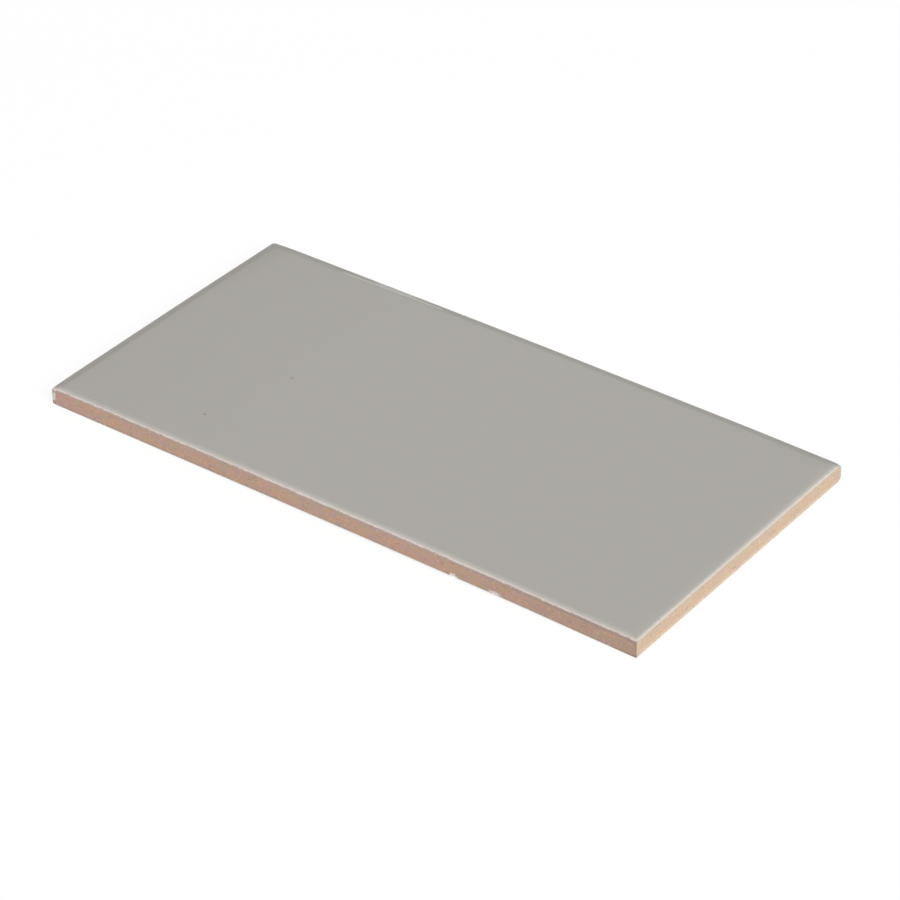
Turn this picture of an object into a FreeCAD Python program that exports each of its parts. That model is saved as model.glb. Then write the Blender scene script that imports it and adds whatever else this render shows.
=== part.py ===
"""Flat subway wall tile: a dry-pressed ceramic body with a cushioned glazed face and a keyed back.

Millimetres. The origin is at the middle of the back, +X runs along the length and +Z points out of the
glazed face. The glaze is fused to the body, so the tile is one solid.
"""

import FreeCAD, Part
import math
import os

from FreeCAD import Vector

# Overall size
length = 200.0
width = 100.0
thickness = 6.0

# Cushioned edge of the face: a long gentle slope down to a small nose
cushion_width = 3.5
cushion_drop = 0.45
nose_radius = 0.5

# Rounding of the upright corners, and of the arris round the back
corner_radius = 1.0
arris_radius = 0.4

# Keyed back: shallow pockets with sloping walls and rounded corners, inside a plain rim
key_columns = 10
key_rows = 5
key_rim = 6.0
key_rib = 3.0
key_depth = 0.7
key_wall_slope = 30.0
key_floor_radius = 1.0

ORIGIN = Vector(0, 0, 0)
UP = Vector(0, 0, 1)


def closed_wire(edges):
    """One closed wire from edges given in any order."""
    return Part.Wire(Part.sortEdges(edges)[0])


def corners(x, y):
    """The four corners of a rectangle of half sizes x and y, each with its turn from the first."""
    return (
        (0, Vector(x, y, 0)),
        (90, Vector(-x, y, 0)),
        (180, Vector(-x, -y, 0)),
        (270, Vector(x, -y, 0)),
    )


def section_arc(centre_x, centre_z, radius, start, end):
    """Arc in the XZ plane between two angles, in radians from +X towards +Z."""
    points = [
        Vector(centre_x + radius * math.cos(angle), 0, centre_z + radius * math.sin(angle))
        for angle in (start, (start + end) / 2, end)
    ]
    return Part.Arc(*points).toShape()


def edge_profile(side_x):
    """Edges of the section from the back, round a side at side_x and over the cushion to the flat face."""
    shoulder_z = thickness - cushion_drop - nose_radius
    slope_run = cushion_width - nose_radius
    slope_fall = cushion_drop + nose_radius
    slope_radius = (slope_run**2 + slope_fall**2 - nose_radius**2) / (2 * cushion_drop)
    nose_end = math.acos(slope_run / (slope_radius - nose_radius))
    quarter = math.pi / 2
    arris = section_arc(side_x - arris_radius, arris_radius, arris_radius, -quarter, 0)
    side = Part.makeLine(Vector(side_x, 0, arris_radius), Vector(side_x, 0, shoulder_z))
    nose = section_arc(side_x - nose_radius, shoulder_z, nose_radius, 0, nose_end)
    slope = section_arc(
        side_x - cushion_width, thickness - slope_radius, slope_radius, nose_end, quarter
    )
    return [arris, side, nose, slope]


def section(span):
    """Whole section across a span, as a face in the XZ plane, with an edge profile at each end."""
    right = edge_profile(span / 2)
    left = [edge.mirror(ORIGIN, Vector(1, 0, 0)) for edge in right]
    back_reach = span / 2 - arris_radius
    face_reach = span / 2 - cushion_width
    back = Part.makeLine(Vector(-back_reach, 0, 0), Vector(back_reach, 0, 0))
    face = Part.makeLine(Vector(-face_reach, 0, thickness), Vector(face_reach, 0, thickness))
    return Part.Face(closed_wire([back, face] + right + left))


def bar(span, run):
    """The section across X, drawn out along Y and centred on the origin."""
    drawn = section(span).extrude(Vector(0, run, 0))
    return drawn.translated(Vector(0, -run / 2, 0))


def corner_post():
    """Quarter turn of the edge section about an upright corner's axis, set at the origin."""
    edge = section(length).translated(Vector(corner_radius - length / 2, 0, 0))
    window_foot = Vector(0, -corner_radius / 2, 0)
    window = Part.makeBox(corner_radius, corner_radius, thickness, window_foot)
    return edge.common(window).Faces[0].revolve(ORIGIN, UP, 90)


def at_tile_corners(shape):
    """Copies of a shape, made for the +X +Y quarter, turned and moved to the axes of the tile's corners."""
    placed = []
    for turn, centre in corners(length / 2 - corner_radius, width / 2 - corner_radius):
        placed.append(shape.rotated(ORIGIN, UP, turn).translated(centre))
    return placed


def pressed_body():
    """Two crossed bars give the mitred cushion, and turned posts take the place of its square corners."""
    across_length = bar(length, width)
    across_width = bar(width, length).rotated(ORIGIN, UP, 90)
    square_corner = Part.makeBox(corner_radius, corner_radius, thickness)
    notched = across_length.common(across_width).cut(at_tile_corners(square_corner))
    return notched.fuse(at_tile_corners(corner_post())).removeSplitter()


def rounded_rectangle(size_x, size_y, radius, z):
    """Closed wire of a rectangle with rounded corners, level at z and centred on the Z axis."""
    arcs = [
        Part.makeCircle(radius, centre + UP * z, UP, turn, turn + 90)
        for turn, centre in corners(size_x / 2 - radius, size_y / 2 - radius)
    ]
    sides = [
        Part.makeLine(arc.Vertexes[-1].Point, following.Vertexes[0].Point)
        for arc, following in zip(arcs, arcs[1:] + arcs[:1])
    ]
    return closed_wire(arcs + sides)


def key_pocket(mouth_x, mouth_y):
    """One pocket of the back, narrowing from its mouth to its floor."""
    narrowing = key_depth * math.tan(math.radians(key_wall_slope))
    floor_x = mouth_x - 2 * narrowing
    floor_y = mouth_y - 2 * narrowing
    mouth = rounded_rectangle(mouth_x, mouth_y, key_floor_radius + narrowing, 0)
    floor = rounded_rectangle(floor_x, floor_y, key_floor_radius, key_depth)
    return Part.makeLoft([mouth, floor], True, True)


def key_pockets():
    """The grid of pockets that fills the back inside its rim."""
    pitch_x = (length - 2 * key_rim + key_rib) / key_columns
    pitch_y = (width - 2 * key_rim + key_rib) / key_rows
    pocket = key_pocket(pitch_x - key_rib, pitch_y - key_rib)
    pockets = []
    for column in range(key_columns):
        for row in range(key_rows):
            x = (column - (key_columns - 1) / 2) * pitch_x
            y = (row - (key_rows - 1) / 2) * pitch_y
            pockets.append(pocket.translated(Vector(x, y, 0)))
    return pockets


tile = pressed_body().cut(key_pockets())
os.makedirs("parts", exist_ok=True)
tile.exportStep("parts/tile.step")
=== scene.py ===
"""Looks of a glazed wall tile: a glossy grey face with cushioned edges, bare tan sides and a keyed back.

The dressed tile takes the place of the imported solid, inside the same box. Sizes are in millimetres until
they reach the mesh. The front side faces -Y and the right end faces +X. Where a value or a colour isn't
the same on the short ends and the long sides, it is given as a pair, the ends first.
"""

import math

import bpy
import numpy as np
from mathutils import Matrix, Vector


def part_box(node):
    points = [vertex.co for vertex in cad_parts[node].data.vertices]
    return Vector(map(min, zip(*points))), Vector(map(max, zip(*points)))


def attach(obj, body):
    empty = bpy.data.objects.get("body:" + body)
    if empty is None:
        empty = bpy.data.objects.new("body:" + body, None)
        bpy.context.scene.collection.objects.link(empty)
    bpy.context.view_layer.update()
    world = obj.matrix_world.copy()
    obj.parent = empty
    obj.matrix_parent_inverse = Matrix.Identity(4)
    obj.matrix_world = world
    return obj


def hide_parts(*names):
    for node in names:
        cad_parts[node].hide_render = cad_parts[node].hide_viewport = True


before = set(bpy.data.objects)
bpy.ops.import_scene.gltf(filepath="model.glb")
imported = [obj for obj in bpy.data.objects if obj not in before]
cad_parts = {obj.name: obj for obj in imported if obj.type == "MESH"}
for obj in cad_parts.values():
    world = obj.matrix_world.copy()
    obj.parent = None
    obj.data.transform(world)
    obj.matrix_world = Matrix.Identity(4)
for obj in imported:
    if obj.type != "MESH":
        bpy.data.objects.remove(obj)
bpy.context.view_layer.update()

MM = 0.001


def srgb(red, green, blue):
    """Linear colour of an 8-bit display colour."""
    shares = np.array([red, green, blue]) / 255
    linear = np.where(shares <= 0.04045, shares / 12.92, ((shares + 0.055) / 1.055) ** 2.4)
    return (*linear.tolist(), 1.0)


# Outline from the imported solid, and the rise of the slightly domed tile over its corners
LOW, HIGH = (np.array(corner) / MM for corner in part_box("tile"))
LENGTH, WIDTH, HEIGHT = HIGH - LOW
CROWN_ALONG = 0.40
CROWN_ACROSS = 0.05

# Ripple of the fired glaze: its height, and the distances in from the side where it starts and is full
RIPPLE = 0.008
RIPPLE_FADE = (1.0, 8.0)
THICKNESS = HEIGHT - CROWN_ALONG - CROWN_ACROSS - RIPPLE

# Cushioned edge: a small nose above the side, then a long gentle slope up to the flat face
CUSHION_WIDTH = 3.5
CUSHION_DROP = 0.45
NOSE_RADIUS = 0.5
SLOPE_RUN = CUSHION_WIDTH - NOSE_RADIUS
SLOPE_FALL = CUSHION_DROP + NOSE_RADIUS
SLOPE_RADIUS = (SLOPE_RUN**2 + SLOPE_FALL**2 - NOSE_RADIUS**2) / (2 * CUSHION_DROP)
NOSE_TURN = math.acos(SLOPE_RUN / (SLOPE_RADIUS - NOSE_RADIUS))
SHOULDER = THICKNESS - SLOPE_FALL

# Reach of the softening at the face's mitres, as a share of the distance in from the side
MITRE_REACH = 0.8

# Rounded arris round the back, and half the width over which it changes at a corner
END_ARRIS = 0.36
SIDE_ARRIS = 0.15
ARRIS_CHANGE = 1.5

# Upright corners by the signs of their x and y: radius, and heights worn away from the foot and the head
CORNERS = {
    (-1, -1): (0.9, 0.3, 0.3),
    (1, -1): (0.5, 0.0, 0.0),
    (1, 1): (1.1, 1.4, 0.6),
    (-1, 1): (1.4, 0.5, 0.0),
}
WORN_REACH = 2.8

# Slow wear of the face's edges and of the front foot: the edge, the height worn away, and the places
# along the edge where it starts and where it is full. A height below 0 takes back the wear before it.
HEAD_WEAR = (
    ("rear", 0.09, 0.0, 30.0),
    ("rear", 0.30, 62.0, 108.0),
    ("left", 0.20, 8.0, 50.0),
    ("front", 0.13, -30.0, -60.0),
    ("front", 0.07, 50.0, 70.0),
)
FOOT_WEAR = (
    ("front", 0.19, -60.0, 30.0),
    ("front", 0.08, 36.0, 50.0),
    ("front", -0.27, 56.0, 100.0),
)
SLOW_REACH = 9.0

# Keyed back: shallow pockets with sloping walls inside a plain rim
KEY_COLUMNS = 10
KEY_ROWS = 5
KEY_RIM = 6.0
KEY_RIB = 3.0
KEY_DEPTH = 0.7
KEY_WALL = 0.4
KEY_CORNER = 1.4

# Chips along the foot of the front side: place, half length, middle height, half height, depth, paleness
CHIPS = (
    (41.6, 1.2, 0.50, 0.75, 0.40, 1.0),
    (55.2, 2.0, 0.80, 0.52, 0.20, 0.8),
)
CHIP_RAGGEDNESS = 0.3

# Mesh lines: how many there are, how far apart, and how far past a chip's half length its own ones go
NOSE_STEPS = 8
SLOPE_STEPS = 10
SIDE_ROWS = 16
WIDEST_CELL = 4.0
CLOSEST_LINES = 0.02
CLOSEST_EDGE_LINES = 0.005
CHIP_LINES = 0.25
CHIP_LINES_REACH = 1.6
SHARP_ANGLE = 35.0

# How thin the glaze is on the hidden edges, against 1 on the front side and the right end, and half the
# width over which the ends change into the sides at a corner. The same shares set the strength of the
# painted highlight on the edge.
REAR_THINNESS_AND_HIGHLIGHT = 0.2
LEFT_THINNESS_AND_HIGHLIGHT = 0.3
CORNER_CHANGE = 1.0

# Distances in from the side over which the back's colour takes over
BACK_FADE = (0.3, 0.9)

# Runs of glaze down two upright corners: the distances from the corner where they end and are full, how
# thickly the right one covers, the heights over which they fade out, and how far they reach
LEFT_RUN = (1.75, 1.5)
RIGHT_RUN = (1.1, 0.9)
RIGHT_RUN_COVER = 0.8
RUN_FADE = (0.6, 1.95)
RUN_REACH = 5.0

# Painted shade on the front side near the crisp front corner: the distances in and the heights where it
# starts and is full, the share and band of its line along the corner, and the share and reach of that
# along the foot
FRONT_SHADE_DEPTH = (1.0, 0.3)
FRONT_SHADE_LOW = (1.2, 0.4)
FRONT_LINE_SHADE = 0.45
FRONT_LINE_BAND = (0.05, 0.25, 0.45, 0.7)
FRONT_FOOT_SHADE = 0.3
FRONT_FOOT_REACH = (9.0, 2.0)

# Painted shade at the left corner, as shares and the distances from the corner where each starts and is
# full:
# outside the run of glaze, below it, and under the glaze in two steps, with the heights of the last two
LEFT_EDGE_SHADE = (0.35, 0.85, 0.6)
LEFT_FOOT_SHADE = (0.3, 2.0, 1.5)
LEFT_FOOT_LOW = (1.5, 1.1)
LEFT_GLAZE_SHADE = ((0.25, 4.0, 1.8), (0.45, 1.8, 1.2))
LEFT_GLAZE_BAND = (SHOULDER - 0.65, SHOULDER - 0.3, SHOULDER + 0.1, SHOULDER + 0.35)

# Pale rubbed strip with a painted highlight on the right end beside the front corner: its share, the
# distances in where it starts and is full, and its band from the front side
RUBBED_HIGHLIGHT_SHARE = 0.2
RUBBED_HIGHLIGHT_DEPTH = (0.2, 0.05)
RUBBED_HIGHLIGHT_BAND = (0.15, 0.35, 0.5, 0.9)

# Pinholes in the glaze: places on the face, and distances from them where a pinhole fades and is gone
PINHOLES = ((-47.5, -6.5), (-55.6, -35.3))
PINHOLE_FADE = (0.24, 0.72)

# Milky glaze that thins over the edge, partly a painted highlight: how far in it reaches on the long
# sides, on the left end, and on the right end before and after two places across it, its share, and how
# fast it falls
MILKY_REACH_SIDE = 2.6
MILKY_REACH_LEFT = 2.8
MILKY_REACH_RIGHT = (1.55, 1.95)
MILKY_CHANGE = (-30.0, 30.0)
MILKY_SHARE = (0.75, 0.64)
MILKY_FALL = 1.5

# Pale body that shows on the nose, partly a painted highlight: its share, and the distances in from the
# side where it fades and is gone
NOSE_SHARE = (0.48, 0.54)
NOSE_FADE = 0.5
NOSE_GONE = (0.95, 1.2)

# Line on the nose where the glaze ends: its height and softness, and how much lower it is on thick glaze
GLAZE_LINE = (SHOULDER + 0.38, SHOULDER + 0.45)
GLAZE_SOFTNESS = 0.09
THICK_GLAZE_DROP = 0.3

# Painted reflection beside the rear edge: a faint pale streak on the glaze and its patch down to the edge:
# places along the edge, distances in from it, slant about a middle, and shares
STREAK_ALONG = (-70.0, -36.5)
STREAK_INSET = (2.05, 2.35)
STREAK_MIDDLE = -50.0
STREAK_SLANT = 0.015
STREAK_SHARE = 0.36
PATCH_ALONG = (-57.0, -48.0)
PATCH_FADE = (1.6, 2.2)
PATCH_SHARE = 0.68

# Places along the tile between which a slightly lighter glaze fades out, and how far they drift
LIGHTER_FADE = (-20.0, 75.0)
LIGHTER_DRIFT = (-20.0, 20.0)

# Places along the front side where it changes near the left corner and near the front one, places across
# the right end where it changes near the rear corner, and how thin the glaze is at the front corner, which
# also weakens the painted highlight there
NEAR_LEFT = (-97.0, -85.0)
NEAR_CORNER = (30.0, 85.0)
NEAR_REAR = (44.0, 49.0)
CORNER_THINNESS_AND_HIGHLIGHT = 0.88

# Shares of colour on the sides: tan ends, tints near the left and front corners, painted shade near the
# rear corner, and rusty grains
END_SHARE = 0.5
LEFT_SHARE = 0.6
REAR_SHADE_SHARE = 0.5
BROWN_SHARE = 0.35
RUSTY_SHARE = (0.2, 0.4)

# Smeared glaze below its line, darkened as painted shade under the glaze's lip, painted shade under the
# glaze line near the front corner, and a band along the foot, painted shade on the long sides and paler on
# the
# ends: shares, and the heights where they start and are full
SMEAR_AND_SHADE_SHARE = (0.4, 0.75)
SMEAR_AND_SHADE_HEIGHTS = (SHOULDER - 0.5, SHOULDER + 0.4)
SHADE_SHARE = 0.5
SHADE_HEIGHTS = (SHOULDER - 0.4, SHOULDER + 0.2)
FOOT_BAND_SHARE = 0.5
FOOT_BAND_START = (1.8, 1.1)
FOOT_BAND_FULL = 0.3

# Colours of the glaze
GLAZE = srgb(163, 160, 154)
LIGHTER_GLAZE = srgb(165, 162, 157)
GLAZE_SPECKLE = srgb(157, 154, 148)
# Milky thin glaze, partly a painted highlight on the edge
MILKY_GLAZE_AND_HIGHLIGHT = srgb(235, 227, 219)
# Painted reflection beside the rear edge
REFLECTION_STREAK = srgb(235, 233, 230)
PINHOLE = srgb(145, 141, 135)

# Colours of the bare body
ORANGE_BODY = srgb(202, 164, 139)
PINK_BODY = srgb(194, 161, 152)
OLIVE_BODY = srgb(186, 169, 139)
WARM_BODY = srgb(206, 165, 142)
RUSTY_GRAIN = srgb(206, 148, 114)
PALE_GRAIN = (srgb(236, 216, 194), srgb(228, 200, 180))
DARK_GRAIN = srgb(160, 128, 110)
# Pale body on the nose, partly a painted highlight
NOSE_BODY_AND_HIGHLIGHT = (srgb(233, 218, 199), srgb(234, 219, 211))
TAN_END = srgb(213, 185, 158)
GREENISH_END = srgb(199, 195, 160)
LEFT_PINK = srgb(198, 161, 155)
# Painted shade on the right end near the rear corner
REAR_CORNER_SHADE = srgb(200, 180, 172)
FRONT_BROWN = srgb(173, 147, 130)
# Smeared glaze with painted shade under the lip, painted shade near the front corner, and the foot band:
# painted shade on the long sides, paler on the ends
SMEARED_GLAZE_AND_SHADE = (srgb(186, 173, 162), srgb(166, 156, 150))
CORNER_SHADE = srgb(150, 130, 121)
FOOT_SHADE_AND_PALENESS = (srgb(220, 208, 196), srgb(168, 152, 142))
POWDERY_WASH = srgb(226, 212, 200)
# Pale chips, and the rubbed strip with its painted highlight
FRESH_CHIP_AND_HIGHLIGHT = srgb(240, 230, 228)
# Painted shade at the front and left corners
PAINTED_SHADE = srgb(118, 96, 84)

# Roughness of the glaze, least and most roughness of the body, and heights of the body's grains and of
# the glaze's orange peel
GLAZE_ROUGHNESS = 0.2
BODY_ROUGHNESS = (0.82, 0.94)
GRAIN_HEIGHT = 0.06
PEEL_HEIGHT = 0.004

# Floor: width in metres, depth under the tile, colour, and share of its white that the shadow leaves
FLOOR_WIDTH = 12.0
FLOOR_DEPTH = 0.02
FLOOR_COLOUR = (0.985, 0.985, 0.985, 1.0)
FLOOR_WHITENESS = 0.8
WHITE = (1.0, 1.0, 1.0, 1.0)

# Camera, from the tile's edges in the photograph
EYE = (498.2, -660.3, 558.7)
VIEW_AZIMUTH = 36.85
VIEW_ELEVATION = 34.19
VIEW_ROLL = -0.30
LENS = 143.4
SENSOR = 36.0


def smoothstep(value, low, high):
    """0 at low, 1 at high and a soft rise between them."""
    share = np.clip((value - low) / (high - low), 0.0, 1.0)
    return share * share * (3.0 - 2.0 * share)


def hump(value, start, full, fade, end):
    """1 between full and fade, falling softly to 0 at start and at end."""
    return smoothstep(value, start, full) * smoothstep(value, end, fade)


def face_height(inset):
    """Height of the glazed face at a distance in from the side: nose, slope, then flat."""
    nose_reach = np.clip(NOSE_RADIUS - inset, 0.0, NOSE_RADIUS)
    nose = SHOULDER + np.sqrt(NOSE_RADIUS**2 - nose_reach**2)
    slope_reach = np.clip(CUSHION_WIDTH - inset, 0.0, CUSHION_WIDTH)
    slope = THICKNESS - SLOPE_RADIUS + np.sqrt(SLOPE_RADIUS**2 - slope_reach**2)
    nose_inset = NOSE_RADIUS * (1 - math.cos(NOSE_TURN))
    return np.where(inset < nose_inset, nose, slope)


def arris_height(x, y, inset):
    """Height of the back's arris at a distance in from the side: crisp on long sides, softer on ends."""
    beyond_mitre = LENGTH / 2 - abs(x) - WIDTH / 2 + abs(y)
    to_end = smoothstep(beyond_mitre, ARRIS_CHANGE, -ARRIS_CHANGE)
    radius = SIDE_ARRIS + (END_ARRIS - SIDE_ARRIS) * to_end
    reach = np.clip(radius - inset, 0.0, radius)
    return radius - np.sqrt(radius**2 - reach**2)


def crown(x, y):
    """Rise of the tile above the plane that its corners stand on."""
    along = CROWN_ALONG * (1 - (2 * x / LENGTH) ** 2)
    return along + CROWN_ACROSS * (1 - (2 * y / WIDTH) ** 2)


def ripple(x, y):
    """Slow unevenness of the fired glaze: crossed waves, each bent by a longer one."""
    across = np.sin(x / 9.0 + 0.6 * np.sin(y / 13.0))
    return RIPPLE * across * np.sin(y / 11.0 + 0.8 * np.sin(x / 17.0))


def key_places(span, count):
    """Middles of the key pockets along one direction, and half the width of a pocket's mouth."""
    pitch = (span - 2 * KEY_RIM + KEY_RIB) / count
    return (np.arange(count) - (count - 1) / 2) * pitch, (pitch - KEY_RIB) / 2


def key_depth(x, y):
    """Depth of the back's pockets: level floors, sloping walls and rounded corners."""
    middles_x, half_x = key_places(LENGTH, KEY_COLUMNS)
    middles_y, half_y = key_places(WIDTH, KEY_ROWS)
    over_x = abs(x[..., None] - middles_x).min(-1) - half_x + KEY_CORNER
    over_y = abs(y[..., None] - middles_y).min(-1) - half_y + KEY_CORNER
    round_corner = np.hypot(np.clip(over_x, 0, None), np.clip(over_y, 0, None))
    beyond_mouth = round_corner + np.minimum(np.maximum(over_x, over_y), 0) - KEY_CORNER
    return KEY_DEPTH * np.clip(-beyond_mouth / KEY_WALL, 0.0, 1.0)


def edge_insets():
    """Distances in from a side at which the edge's section needs a mesh line."""
    nose_turns = np.linspace(0, NOSE_TURN, NOSE_STEPS + 1)
    slope_turns = np.linspace(NOSE_TURN, math.pi / 2, SLOPE_STEPS + 1)[1:]
    nose = NOSE_RADIUS * (1 - np.cos(nose_turns))
    slope = CUSHION_WIDTH - SLOPE_RADIUS * np.cos(slope_turns)
    return np.concatenate([nose, [SIDE_ARRIS, END_ARRIS], slope])


def mesh_lines(span, key_count, extra):
    """Places of the mesh lines along one direction: close together at edges, pocket walls and chips."""
    edge = span / 2 - edge_insets()
    middles, half_mouth = key_places(span, key_count)
    wall_steps = np.array([0.0, 0.5 * KEY_WALL, KEY_WALL, 2 * KEY_WALL, KEY_CORNER])
    walls = (middles[:, None] + half_mouth - wall_steps).ravel()
    lines = np.unique(np.concatenate([edge, -edge, walls, -walls, extra]).round(4))
    kept = [lines[0]]
    for line in lines[1:]:
        gap = line - kept[-1]
        in_edge = abs(line) > span / 2 - CUSHION_WIDTH
        if gap < (CLOSEST_EDGE_LINES if in_edge else CLOSEST_LINES):
            continue
        parts = math.ceil(gap / WIDEST_CELL)
        kept.extend(kept[-1] + gap * np.arange(1, parts + 1) / parts)
    return np.array(kept)


def square_grid():
    """The mesh in plan before its corners are rounded, as x and y."""
    chip_lines = []
    for place, half_length, *_ in CHIPS:
        reach = CHIP_LINES_REACH * half_length
        chip_lines.append(place + np.arange(-reach, reach, CHIP_LINES))
    lines_x = mesh_lines(LENGTH, KEY_COLUMNS, np.concatenate(chip_lines))
    lines_y = mesh_lines(WIDTH, KEY_ROWS, np.array([]))
    return np.meshgrid(lines_x, lines_y, indexing="ij")


def corner_radii(x, y):
    """Radius of the upright corner in each point's quarter of the tile."""
    radii = np.zeros(x.shape)
    for (side_x, side_y), (radius, _, _) in CORNERS.items():
        radii[(x * side_x >= 0) & (y * side_y >= 0)] = radius
    return radii


def plan_grid():
    """The mesh in plan: x and y with rounded corners, and distances from the nearest and the other side.

    The square grid's corner cells are swung onto arcs about the corner's axis.
    """
    x, y = square_grid()
    from_end = np.clip(LENGTH / 2 - abs(x), 0.0, None)
    from_side = np.clip(WIDTH / 2 - abs(y), 0.0, None)
    near = np.minimum(from_end, from_side)
    far = np.maximum(from_end, from_side)
    corner = corner_radii(x, y)
    radius = np.clip(corner - near, 1e-9, None)
    swing = math.pi / 4 * (far - near) / radius
    turn = math.pi / 4 + np.where(from_end < from_side, -swing, swing)
    round_x = LENGTH / 2 - corner + radius * np.cos(turn)
    round_y = WIDTH / 2 - corner + radius * np.sin(turn)
    in_corner = far < corner
    x = np.where(in_corner, np.sign(x) * round_x, x)
    y = np.where(in_corner, np.sign(y) * round_y, y)
    return x, y, near, far


def corner_gap(x, y, side_x, side_y):
    """Distance in plan from one of the square corners of the tile's outline."""
    return np.hypot(x - side_x * LENGTH / 2, y - side_y * WIDTH / 2)


def slow_wear(rows, x, y):
    """Height worn away along parts of the edges, fading out towards the middle of the tile."""
    edges = {
        "rear": (WIDTH / 2 - y, x),
        "front": (WIDTH / 2 + y, x),
        "left": (LENGTH / 2 + x, y),
    }
    worn = 0.0
    for edge, height, start, full in rows:
        inset, along = edges[edge]
        worn = worn + height * smoothstep(along, start, full) * smoothstep(inset, SLOW_REACH, 0.0)
    return worn


def edge_wear(x, y):
    """Heights worn away from the foot and the head, along the edges and near the upright corners."""
    foot = slow_wear(FOOT_WEAR, x, y)
    head = slow_wear(HEAD_WEAR, x, y)
    for (side_x, side_y), (_, foot_wear, head_wear) in CORNERS.items():
        nearness = np.clip(1 - corner_gap(x, y, side_x, side_y) / WORN_REACH, 0.0, 1.0)
        foot = foot + foot_wear * nearness**2
        head = head + head_wear * nearness**2
    return foot, head


def softened(near, far):
    """Distance in from the side, with the mitres at the face's corners softened."""
    reach = np.clip(MITRE_REACH * near, 1e-6, None)
    share = np.clip(reach - (far - near), 0.0, None) / reach
    return near - share**2 * reach / 4


def outline_loop(index):
    """Point numbers round the outline of a grid of point numbers, anticlockwise from above."""
    return np.concatenate([index[:-1, 0], index[-1, :-1], index[:0:-1, -1], index[0, :0:-1]])


def sheet_faces(index):
    """Quads of a grid of point numbers, facing up."""
    quads = [index[:-1, :-1], index[1:, :-1], index[1:, 1:], index[:-1, 1:]]
    return np.stack(quads, axis=-1).reshape(-1, 4)


def upright_sides(points, foot_loop, top_loop):
    """Points and quads of the sides, in rows between the outlines of the back and of the face."""
    up = (np.arange(1, SIDE_ROWS) / SIDE_ROWS)[:, None, None]
    sides = points[foot_loop] * (1 - up) + points[top_loop] * up
    index = len(points) + np.arange(sides.shape[0] * sides.shape[1]).reshape(sides.shape[:2])
    rings = np.concatenate([foot_loop[None], index, top_loop[None]])
    ahead = np.roll(rings, -1, axis=1)
    quads = np.stack([rings[:-1], ahead[:-1], ahead[1:], rings[1:]], axis=-1)
    return sides.reshape(-1, 3), quads.reshape(-1, 4)


def tile_shell():
    """Points and quads of the closed tile: face sheet, back sheet, and sides between their outlines.

    With each point come its distance in from the side, and its shares of the back and the back's ribs.
    """
    x, y, near, far = plan_grid()
    rise = crown(x, y)
    foot_wear, head_wear = edge_wear(x, y)
    face = face_height(softened(near, far)) + rise - head_wear
    face += smoothstep(near, *RIPPLE_FADE) * ripple(x, y)
    depth = key_depth(x, y)
    back = arris_height(x, y, near) + rise + depth + foot_wear
    sheets = np.concatenate([np.stack([x, y, z], axis=-1).reshape(-1, 3) for z in (face, back)])

    face_index = np.arange(x.size).reshape(x.shape)
    back_index = face_index + x.size
    sides, side_faces = upright_sides(sheets, outline_loop(back_index), outline_loop(face_index))
    points = np.concatenate([sheets, sides])
    quads = np.concatenate([sheet_faces(face_index), sheet_faces(back_index)[:, ::-1], side_faces])

    on_face = np.zeros(near.size)
    on_sides = np.zeros(len(sides))
    shares = {
        "inset": np.concatenate([near.ravel(), near.ravel(), on_sides]),
        "back": np.concatenate([on_face, smoothstep(near, *BACK_FADE).ravel(), on_sides]),
        "rib": np.concatenate([on_face, 1 - depth.ravel() / KEY_DEPTH, on_sides]),
    }
    return points, quads, shares


def section_height(points):
    """Height of each point on the tile's section, without its crown and the wear of the face's edges."""
    x, y, z = points.T
    _, head_wear = edge_wear(x, y)
    return (z - crown(x, y)) * (1 + head_wear / THICKNESS)


def chip_bowls(points, foot_height):
    """How far each point is pushed in by the chips, and how pale it is in one, from 0 to 1."""
    fade = np.clip(1 - (points[:, 1] + WIDTH / 2), 0.0, 1.0)
    depth = np.zeros(len(points))
    pale = np.zeros(len(points))
    for place, half_length, middle, half_height, deepest, paleness in CHIPS:
        along = (points[:, 0] - place) / half_length
        up = (foot_height - middle) / half_height
        waves = np.sin(4.1 * along + 1.7 * up + place) * np.cos(3.3 * up - 2.2 * along)
        bowl = np.clip(1 - (along**2 + up**2) * (1 + CHIP_RAGGEDNESS * waves), 0.0, 1.0)
        depth = np.maximum(depth, deepest * bowl**0.7 * fade)
        pale = np.maximum(pale, paleness * smoothstep(bowl, 0.0, 0.2) * smoothstep(fade, 0.0, 0.6))
    return depth, pale


def edge_shares(points):
    """For each point, 1 at a long side and 0 at a short end, and how thin the glaze is on that edge."""
    from_end = LENGTH / 2 - abs(points[:, 0])
    from_side = WIDTH / 2 - abs(points[:, 1])
    long_side = smoothstep(from_end - from_side, -CORNER_CHANGE, CORNER_CHANGE)
    side_thinness = np.where(points[:, 1] < 0, 1.0, REAR_THINNESS_AND_HIGHLIGHT)
    end_thinness = np.where(points[:, 0] > 0, 1.0, LEFT_THINNESS_AND_HIGHLIGHT)
    return long_side, end_thinness * (1 - long_side) + side_thinness * long_side


def front_corner_shade(points, foot_height):
    """Painted shade along the crisp front corner, more at its foot, and along the front side's foot near
    it.
    """
    on_front = smoothstep(WIDTH / 2 + points[:, 1], *FRONT_SHADE_DEPTH)
    from_right = LENGTH / 2 - points[:, 0]
    low = smoothstep(foot_height, *FRONT_SHADE_LOW)
    line = FRONT_LINE_SHADE * hump(from_right, *FRONT_LINE_BAND) * (1 + low)
    foot = FRONT_FOOT_SHADE * smoothstep(from_right, *FRONT_FOOT_REACH) * low
    return on_front * np.maximum(line, foot)


def shade_round(gap, share, start, full):
    """Share of painted shade round a corner, at a distance from it."""
    return share * smoothstep(gap, start, full)


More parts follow.
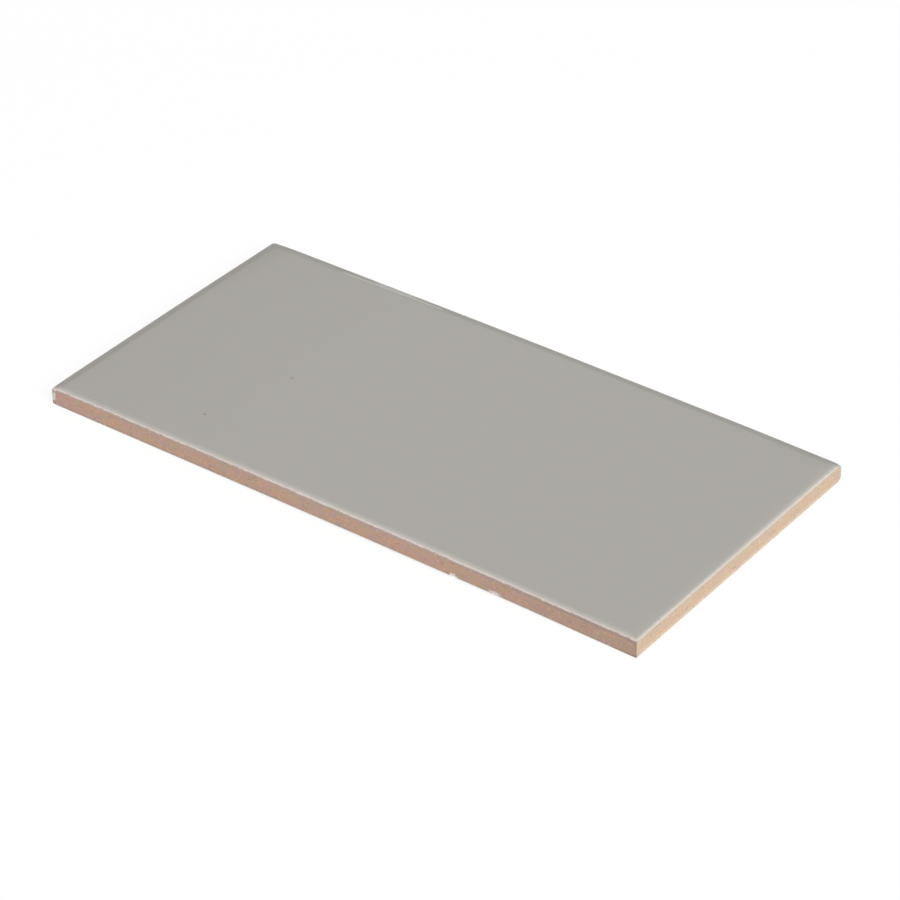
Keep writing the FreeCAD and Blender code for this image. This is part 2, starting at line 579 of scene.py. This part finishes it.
def left_corner_shade(points, foot_height):
    """Painted shade at the left corner: outside the run of glaze, below it, and under the glaze beside it.
    """
    gap = corner_gap(points[:, 0], points[:, 1], -1, -1)
    outside = shade_round(gap, *LEFT_EDGE_SHADE)
    below = shade_round(gap, *LEFT_FOOT_SHADE) * smoothstep(foot_height, *LEFT_FOOT_LOW)
    under = sum(shade_round(gap, *step) for step in LEFT_GLAZE_SHADE)
    under = under * hump(foot_height, *LEFT_GLAZE_BAND)
    return np.maximum(np.maximum(outside, below), under)


def rubbed_highlight(points):
    """Share of rubbed paleness and painted highlight on the right end beside the crisp front corner."""
    on_end = smoothstep(LENGTH / 2 - points[:, 0], *RUBBED_HIGHLIGHT_DEPTH)
    return RUBBED_HIGHLIGHT_SHARE * on_end * hump(WIDTH / 2 + points[:, 1], *RUBBED_HIGHLIGHT_BAND)


def surface_values(points, foot_height, chipped):
    """Values that the material reads at each point: its place, glaze, chips with a painted highlight, and
    painted shade.
    """
    long_side, thin = edge_shares(points)
    left_run = smoothstep(corner_gap(points[:, 0], points[:, 1], -1, -1), *LEFT_RUN)
    right_run = smoothstep(corner_gap(points[:, 0], points[:, 1], 1, 1), *RIGHT_RUN)
    front_shade = front_corner_shade(points, foot_height)
    left_shade = left_corner_shade(points, foot_height)
    return {
        "foot_height": foot_height,
        "long_side": long_side,
        # Thin glaze, which also sets the painted highlight on the edge; the run of glaze at the left
        # corner is painted pale with it
        "thin_glaze_and_highlight": np.maximum(thin, left_run) * (1 - RIGHT_RUN_COVER * right_run),
        "glaze_run": left_run + right_run,
        # Chips, and the rubbed strip with its painted highlight beside the front corner
        "chipped": np.maximum(chipped, rubbed_highlight(points)),
        # Painted shade at the front and left corners
        "painted_shade": np.maximum(front_shade, left_shade),
    }


def smooth_object(name, points, quads, values):
    """A smooth mesh object in the scene, with values stored at its points."""
    mesh = bpy.data.meshes.new(name)
    mesh.from_pydata((points * MM).tolist(), [], quads.tolist())
    for value_name, each in values.items():
        stored = mesh.attributes.new(value_name, "FLOAT", "POINT")
        stored.data.foreach_set("value", each.astype(np.float32))
    mesh.shade_smooth()
    mesh.set_sharp_from_angle(angle=math.radians(SHARP_ANGLE))
    smooth = bpy.data.objects.new(name, mesh)
    bpy.context.scene.collection.objects.link(smooth)
    return smooth


def build_tile():
    """The dressed tile as one closed mesh, with the values that its material reads at each point."""
    points, quads, values = tile_shell()
    foot_height = section_height(points)
    chip_depth, chipped = chip_bowls(points, foot_height)
    values |= surface_values(points, foot_height, chipped)
    points[:, 1] += chip_depth
    tile = smooth_object("glazed_wall_tile", points, quads, values)
    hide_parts("tile")
    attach(tile, "root")
    return tile


class Shader:
    """A node material, with short names for its nodes. Lengths are in millimetres on the tile."""

    def __init__(self, name):
        self.material = bpy.data.materials.new(name)
        self.material.use_nodes = True
        self.tree = self.material.node_tree
        self.surface = self.tree.nodes["Principled BSDF"]
        coordinates = self.add("ShaderNodeTexCoord").outputs["Object"]
        inputs = {0: coordinates, "Scale": 1 / MM}
        self.place = self.add("ShaderNodeVectorMath", inputs, operation="SCALE").outputs["Vector"]
        self.x, self.y, _ = self.add("ShaderNodeSeparateXYZ", {0: self.place}).outputs

    def add(self, kind, inputs=None, **settings):
        """A node with its settings, and its inputs by name or number as sockets or values."""
        node = self.tree.nodes.new(kind)
        for name, value in settings.items():
            setattr(node, name, value)
        for name, value in (inputs or {}).items():
            self.feed(node.inputs[name], value)
        return node

    def feed(self, socket, value):
        """Links a socket to another, or sets its value."""
        if isinstance(value, bpy.types.NodeSocket):
            self.tree.links.new(value, socket)
        else:
            socket.default_value = value

    def attribute(self, name):
        """A value stored at the mesh's points."""
        return self.add("ShaderNodeAttribute", attribute_name=name).outputs["Fac"]

    def noise(self, size, detail=2.0, roughness=0.5, shift=0.0, flat=1.0):
        """Cloudy variation from 0 to 1, different for each shift, flat times as long as it is high."""
        stretch = (1 / flat, 1 / flat, 1)
        spread = {"Vector": self.place, "Location": (shift, shift, shift), "Scale": stretch}
        place = self.add("ShaderNodeMapping", spread).outputs["Vector"]
        inputs = {"Vector": place, "Scale": 1 / size, "Detail": detail, "Roughness": roughness}
        return self.add("ShaderNodeTexNoise", inputs).outputs["Fac"]

    def rise(self, value, low, high, start=0.0, end=1.0):
        """Soft rise from start to end while a value goes from low to high."""
        inputs = {"Value": value, "From Min": low, "From Max": high, "To Min": start, "To Max": end}
        soft = self.add("ShaderNodeMapRange", inputs, interpolation_type="SMOOTHSTEP")
        return soft.outputs["Result"]

    def clouds(self, size, between, values=(0.0, 1.0), **grain):
        """Cloudy value that goes softly from one to another while the noise goes between two levels."""
        return self.rise(self.noise(size, **grain), *between, *values)

    def band(self, value, low, high, soft):
        """1 between low and high, falling softly to 0 on both sides."""
        begun = self.rise(value, low - soft, low)
        return self.times(begun, self.rise(value, high, high + soft, 1.0, 0.0))

    def maths(self, operation, first, second):
        """Two values added, divided or otherwise joined."""
        inputs = {0: first, 1: second}
        return self.add("ShaderNodeMath", inputs, operation=operation).outputs["Value"]

    def times(self, first, second):
        """Product of two values."""
        return self.maths("MULTIPLY", first, second)

    def mix(self, share, first, second):
        """Colour that goes from first to second with a share."""
        inputs = {0: share, 6: first, 7: second}
        return self.add("ShaderNodeMix", inputs, data_type="RGBA").outputs[2]

    def mix_value(self, share, first, second):
        """Value that goes from first to second with a share."""
        inputs = {0: share, 2: first, 3: second}
        return self.add("ShaderNodeMix", inputs, data_type="FLOAT").outputs[0]

    def on_edges(self, ends, sides):
        """Value that is one on the short ends and another on the long sides."""
        return self.mix_value(self.attribute("long_side"), ends, sides)

    def colour_on_edges(self, ends, sides):
        """Colour that is one on the short ends and another on the long sides."""
        return self.mix(self.attribute("long_side"), ends, sides)


def pinhole_share(shader):
    """1 in the pinholes of the face, 0 elsewhere."""
    inputs = {0: shader.place, 1: (1, 1, 0)}
    in_plan = shader.add("ShaderNodeVectorMath", inputs, operation="MULTIPLY").outputs["Vector"]
    share = 0.0
    for x, y in PINHOLES:
        inputs = {0: in_plan, 1: (x, y, 0)}
        gap = shader.add("ShaderNodeVectorMath", inputs, operation="DISTANCE").outputs["Value"]
        hole = shader.rise(gap, *PINHOLE_FADE, 1.0, 0.0)
        share = shader.maths("MAXIMUM", hole, share)
    return share


def thinning_and_highlight(shader):
    """Two shares of paleness on the edge, each partly a painted highlight: milky glaze down the slope, and
    body showing on the nose.
    """
    thin_glaze_and_highlight = shader.attribute("thin_glaze_and_highlight")
    thin = shader.times(thin_glaze_and_highlight, shader.rise(shader.x, *NEAR_CORNER, 1.0, CORNER_THINNESS_AND_HIGHLIGHT))
    waver = shader.clouds(size=1.2, between=(0.2, 0.8), values=(-0.1, 0.1))
    inset = shader.maths("ADD", shader.attribute("inset"), waver)

    right_reach = shader.rise(shader.y, *MILKY_CHANGE, *MILKY_REACH_RIGHT)
    end_reach = shader.mix_value(thin_glaze_and_highlight, MILKY_REACH_LEFT, right_reach)
    covered = shader.maths("DIVIDE", inset, shader.on_edges(end_reach, MILKY_REACH_SIDE))
    uncovered = shader.maths("MAXIMUM", shader.maths("SUBTRACT", 1.0, covered), 0.0)
    on_slope = shader.maths("POWER", uncovered, MILKY_FALL)
    milky_and_highlight = shader.times(on_slope, shader.on_edges(*MILKY_SHARE))

    share = shader.on_edges(*NOSE_SHARE)
    on_nose = shader.rise(inset, NOSE_FADE, shader.on_edges(*NOSE_GONE), share, 0.0)
    patchy = shader.clouds(size=1.1, between=(0.25, 0.7), values=(0.6, 1.0), shift=40.0)
    bare = shader.times(on_nose, patchy)
    return shader.times(milky_and_highlight, thin), shader.times(bare, thin)


def painted_reflection(shader):
    """Share of a painted reflection: a faint pale streak on the glaze beside the rear edge, with a patch
    down to the edge.
    """
    inset = shader.maths("SUBTRACT", WIDTH / 2, shader.y)
    slant = shader.times(shader.maths("SUBTRACT", shader.x, STREAK_MIDDLE), STREAK_SLANT)
    line = shader.band(shader.maths("ADD", inset, slant), *STREAK_INSET, soft=0.3)
    line = shader.times(line, shader.band(shader.x, *STREAK_ALONG, soft=2.5))
    to_edge = shader.rise(inset, *PATCH_FADE, PATCH_SHARE, 0.0)
    patch = shader.times(to_edge, shader.band(shader.x, *PATCH_ALONG, soft=6.0))
    return shader.times(shader.maths("MAXIMUM", line, patch), STREAK_SHARE)


def glaze_colour(shader):
    """Warm grey glaze with slow clouds, fine speckle and a few pinholes, paler where it is thin, with a
    painted highlight on the edges and a painted reflection beside the rear edge.
    """
    drift = shader.clouds(size=30.0, between=(0.3, 0.7), values=LIGHTER_DRIFT)
    lighter = shader.rise(shader.maths("ADD", shader.x, drift), *LIGHTER_FADE, 1.0, 0.0)
    colour = shader.mix(lighter, GLAZE, LIGHTER_GLAZE)
    speckle = shader.clouds(
        size=0.4, between=(0.3, 0.75), values=(0.0, 0.3), roughness=0.6, shift=11.0
    )
    colour = shader.mix(speckle, colour, GLAZE_SPECKLE)
    milky_and_highlight, bare = thinning_and_highlight(shader)
    # Painted highlight on the edge, in the milky glaze and the pale body on the nose
    colour = shader.mix(milky_and_highlight, colour, MILKY_GLAZE_AND_HIGHLIGHT)
    colour = shader.mix(bare, colour, shader.colour_on_edges(*NOSE_BODY_AND_HIGHLIGHT))
    # Painted reflection beside the rear edge
    colour = shader.mix(painted_reflection(shader), colour, REFLECTION_STREAK)
    return shader.mix(pinhole_share(shader), colour, PINHOLE)


def mottled_body(shader):
    """Bare tan body, mottled orange, pink and olive in flat layers."""
    pink = shader.clouds(size=1.7, between=(0.36, 0.64), detail=1.0, shift=3.0, flat=2.2)
    colour = shader.mix(pink, ORANGE_BODY, PINK_BODY)
    olive = shader.clouds(
        size=1.6, between=(0.5, 0.66), values=(0.0, 0.6), detail=1.0, shift=17.0, flat=2.2
    )
    colour = shader.mix(olive, colour, OLIVE_BODY)
    warm = shader.clouds(
        size=6.0, between=(0.35, 0.65), values=(0.0, 0.25), detail=1.0, shift=71.0, flat=2.0
    )
    return shader.mix(warm, colour, WARM_BODY)


def flecked(shader, colour):
    """A colour of the bare body with its rusty, pale and dark grains."""
    rusty = shader.clouds(size=0.9, between=(0.57, 0.68), roughness=0.6, shift=37.0, flat=1.8)
    rusty = shader.times(rusty, shader.on_edges(*RUSTY_SHARE))
    colour = shader.mix(rusty, colour, RUSTY_GRAIN)
    pale = shader.clouds(
        size=0.8, between=(0.57, 0.7), values=(0.0, 0.45), roughness=0.7, shift=23.0
    )
    colour = shader.mix(pale, colour, shader.colour_on_edges(*PALE_GRAIN))
    dark = shader.clouds(
        size=0.8, between=(0.57, 0.7), values=(0.0, 0.5), roughness=0.7, shift=29.0, flat=1.5
    )
    return shader.mix(dark, colour, DARK_GRAIN)


def tinted_and_shaded_sides(shader, body):
    """Body on the sides: paler ends, a tint near the left corner, painted shade near the rear corner and a
    browner front corner.
    """
    long_side = shader.attribute("long_side")
    end_patches = shader.clouds(size=2.2, between=(0.36, 0.64), detail=1.0, shift=61.0)
    end = shader.mix(end_patches, TAN_END, GREENISH_END)
    colour = shader.mix(shader.rise(long_side, 0.0, 1.0, END_SHARE, 0.0), body, end)
    near_left = shader.times(shader.rise(shader.x, *NEAR_LEFT, LEFT_SHARE, 0.0), long_side)
    colour = shader.mix(near_left, colour, LEFT_PINK)
    # Painted shade on the right end near the rear corner
    on_end = shader.maths("SUBTRACT", 1.0, long_side)
    near_rear = shader.times(shader.rise(shader.y, *NEAR_REAR, 0.0, REAR_SHADE_SHARE), on_end)
    colour = shader.mix(near_rear, colour, REAR_CORNER_SHADE)
    near_corner = shader.times(shader.rise(shader.x, *NEAR_CORNER, 0.0, BROWN_SHARE), long_side)
    return shader.mix(near_corner, colour, FRONT_BROWN)


def smeared_and_shaded_sides(shader, colour):
    """A side's colour with glaze smeared below its line and painted shade under it, painted shade near the
    front corner, and a band along the foot: painted shade on the long sides, paler on the ends.
    """
    foot_height = shader.attribute("foot_height")
    long_side = shader.attribute("long_side")
    smear_and_shade = shader.rise(foot_height, *SMEAR_AND_SHADE_HEIGHTS)
    smear_and_shade = shader.times(smear_and_shade, shader.on_edges(*SMEAR_AND_SHADE_SHARE))
    colour = shader.mix(smear_and_shade, colour, shader.colour_on_edges(*SMEARED_GLAZE_AND_SHADE))
    shaded = shader.rise(foot_height, *SHADE_HEIGHTS, 0.0, SHADE_SHARE)
    near_corner = shader.times(shader.rise(shader.x, *NEAR_CORNER), long_side)
    colour = shader.mix(shader.times(shaded, near_corner), colour, CORNER_SHADE)
    start = shader.on_edges(*FOOT_BAND_START)
    foot_band = shader.rise(foot_height, FOOT_BAND_FULL, start, FOOT_BAND_SHARE, 0.0)
    return shader.mix(foot_band, colour, shader.colour_on_edges(*FOOT_SHADE_AND_PALENESS))


def washed_back(shader, body):
    """Body on the back, with a pale powdery wash rubbed onto its rim and ribs."""
    rubbed = shader.clouds(
        size=6.0, between=(0.35, 0.65), values=(0.15, 0.6), detail=3.0, roughness=0.6, shift=51.0
    )
    wash = shader.times(shader.attribute("rib"), rubbed)
    return shader.mix(wash, body, POWDERY_WASH)


def glazed_share(shader):
    """1 on the glaze and 0 on the bare body, parted by a wavering line on the nose of the edge."""
    foot_height = shader.attribute("foot_height")
    waver = shader.clouds(size=1.5, between=(0.25, 0.75), values=(-0.05, 0.05), detail=3.0, shift=7.0)
    run = shader.rise(foot_height, *RUN_FADE, 0.0, RUN_REACH)
    run = shader.times(shader.attribute("glaze_run"), run)
    level = shader.maths("ADD", shader.maths("ADD", foot_height, waver), run)
    thick = shader.maths("SUBTRACT", 1.0, shader.attribute("thin_glaze_and_highlight"))
    level = shader.maths("ADD", level, shader.times(thick, THICK_GLAZE_DROP))
    above_line = shader.maths("SUBTRACT", level, shader.on_edges(*GLAZE_LINE))
    return shader.rise(above_line, 0.0, GLAZE_SOFTNESS)


def surface_normal(shader, glazed):
    """Normal of the surface: the grains of the bare body and the faint orange peel of the glaze."""
    grains = shader.noise(0.5, detail=4.0, roughness=0.65, shift=13.0)
    grains = shader.times(grains, GRAIN_HEIGHT * MM)
    peel = shader.noise(5.0, detail=1.0, roughness=0.4, shift=19.0)
    peel = shader.times(peel, PEEL_HEIGHT * MM)
    relief = shader.mix_value(glazed, grains, peel)
    bump = shader.add("ShaderNodeBump", {"Height": relief, "Distance": 1.0, "Strength": 1.0})
    return bump.outputs["Normal"]


def fired_ceramic():
    """Material of the tile: glossy glaze over a granular bare body, with chips, painted highlights, a
    painted reflection and painted shade.
    """
    shader = Shader("fired_ceramic")
    glazed = glazed_share(shader)
    body = mottled_body(shader)
    sides = smeared_and_shaded_sides(shader, tinted_and_shaded_sides(shader, body))
    bare = shader.mix(shader.attribute("back"), sides, washed_back(shader, body))
    # Chips, and the rubbed strip with its painted highlight beside the front corner
    bare = shader.mix(shader.attribute("chipped"), flecked(shader, bare), FRESH_CHIP_AND_HIGHLIGHT)
    colour = shader.mix(glazed, bare, glaze_colour(shader))
    # Painted shade at the front and left corners
    colour = shader.mix(shader.attribute("painted_shade"), colour, PAINTED_SHADE)
    body_roughness = shader.clouds(
        size=0.8, between=(0.2, 0.8), values=BODY_ROUGHNESS, shift=5.0
    )
    roughness = shader.mix_value(glazed, body_roughness, GLAZE_ROUGHNESS)
    shader.feed(shader.surface.inputs["Base Color"], colour)
    shader.feed(shader.surface.inputs["Roughness"], roughness)
    shader.feed(shader.surface.inputs["Normal"], surface_normal(shader, glazed))
    return shader.material


def build_floor():
    """Plain white floor under the tile, with the tile's shadow lightened where it is seen."""
    bpy.ops.mesh.primitive_plane_add(size=FLOOR_WIDTH, location=(0, 0, -FLOOR_DEPTH * MM))
    floor = bpy.context.object
    floor.name = "floor"
    shader = Shader("white_floor")
    shader.feed(shader.surface.inputs["Base Color"], FLOOR_COLOUR)
    shader.feed(shader.surface.inputs["Roughness"], 1.0)
    shader.feed(shader.surface.inputs["Specular IOR Level"], 0.0)
    ray = shader.add("ShaderNodeLightPath").outputs
    seen = shader.maths("MAXIMUM", ray["Is Camera Ray"], ray["Is Glossy Ray"])
    white = shader.add("ShaderNodeEmission", {"Color": WHITE, "Strength": 1.0})
    share = shader.times(seen, FLOOR_WHITENESS)
    inputs = {0: share, 1: shader.surface.outputs["BSDF"], 2: white.outputs["Emission"]}
    mixed = shader.add("ShaderNodeMixShader", inputs)
    shader.feed(shader.tree.nodes["Material Output"].inputs["Surface"], mixed.outputs["Shader"])
    floor.data.materials.append(shader.material)


def direction(azimuth, elevation):
    """Unit vector from the tile towards a place given as for a view of it, in degrees."""
    turn, rise = math.radians(azimuth), math.radians(elevation)
    level = math.cos(rise)
    return Vector((math.sin(turn) * level, -math.cos(turn) * level, math.sin(rise)))


def add_softbox(name, azimuth, elevation, distance, size, level):
    """Square area lamp aimed at the tile. Level is the light that it puts on a surface facing it."""
    lamp = bpy.data.lights.new(name, "AREA")
    lamp.shape = "SQUARE"
    lamp.size = size
    lamp.energy = level * math.pi**2 * distance**2
    softbox = bpy.data.objects.new(name, lamp)
    away = direction(azimuth, elevation)
    softbox.location = away * distance
    softbox.rotation_euler = away.to_track_quat("Z", "Y").to_euler()
    bpy.context.scene.collection.objects.link(softbox)


def light_surroundings(level, glow, azimuth, elevation, reach, core):
    """Dim surroundings with one soft glow: from nothing at its reach to full at its core, in degrees."""
    world = bpy.data.worlds.new("surroundings")
    world.use_nodes = True
    bpy.context.scene.world = world
    nodes, links = world.node_tree.nodes, world.node_tree.links
    towards = nodes.new("ShaderNodeTexCoord")
    nearness = nodes.new("ShaderNodeVectorMath")
    nearness.operation = "DOT_PRODUCT"
    nearness.inputs[1].default_value = direction(azimuth, elevation)
    strength = nodes.new("ShaderNodeMapRange")
    strength.interpolation_type = "SMOOTHSTEP"
    strength.inputs["From Min"].default_value = math.cos(math.radians(reach))
    strength.inputs["From Max"].default_value = math.cos(math.radians(core))
    strength.inputs["To Min"].default_value = level
    strength.inputs["To Max"].default_value = glow
    links.new(towards.outputs["Generated"], nearness.inputs[0])
    links.new(nearness.outputs["Value"], strength.inputs["Value"])
    links.new(strength.outputs["Result"], nodes["Background"].inputs["Strength"])
    nodes["Background"].inputs["Color"].default_value = WHITE


def light_studio():
    """A soft glow behind the tile, the main softbox from the right and another overhead."""
    light_surroundings(level=0.12, glow=1.0, azimuth=205.0, elevation=47.0, reach=28.0, core=14.0)
    add_softbox("softbox_right", azimuth=70.0, elevation=38.0, distance=12.0, size=7.0, level=0.775)
    add_softbox("softbox_overhead", azimuth=20.0, elevation=80.0, distance=12.0, size=7.0, level=0.42)


def place_camera():
    """Camera at the photograph's view of the tile."""
    turn = math.radians(VIEW_AZIMUTH)
    right = Vector((math.cos(turn), math.sin(turn), 0.0))
    back = direction(VIEW_AZIMUTH, VIEW_ELEVATION)
    level = Matrix((right, back.cross(right), back)).transposed()
    rolled = level @ Matrix.Rotation(math.radians(VIEW_ROLL), 3, "Z")
    camera = bpy.data.objects.new("camera", bpy.data.cameras.new("camera"))
    camera.data.lens = LENS
    camera.data.sensor_width = SENSOR
    camera.matrix_world = Matrix.Translation(Vector(EYE) * MM) @ rolled.to_4x4()
    bpy.context.scene.collection.objects.link(camera)
    bpy.context.scene.camera = camera


build_tile().data.materials.append(fired_ceramic())
build_floor()
light_studio()
place_camera()
bpy.context.scene.view_settings.view_transform = "Standard"
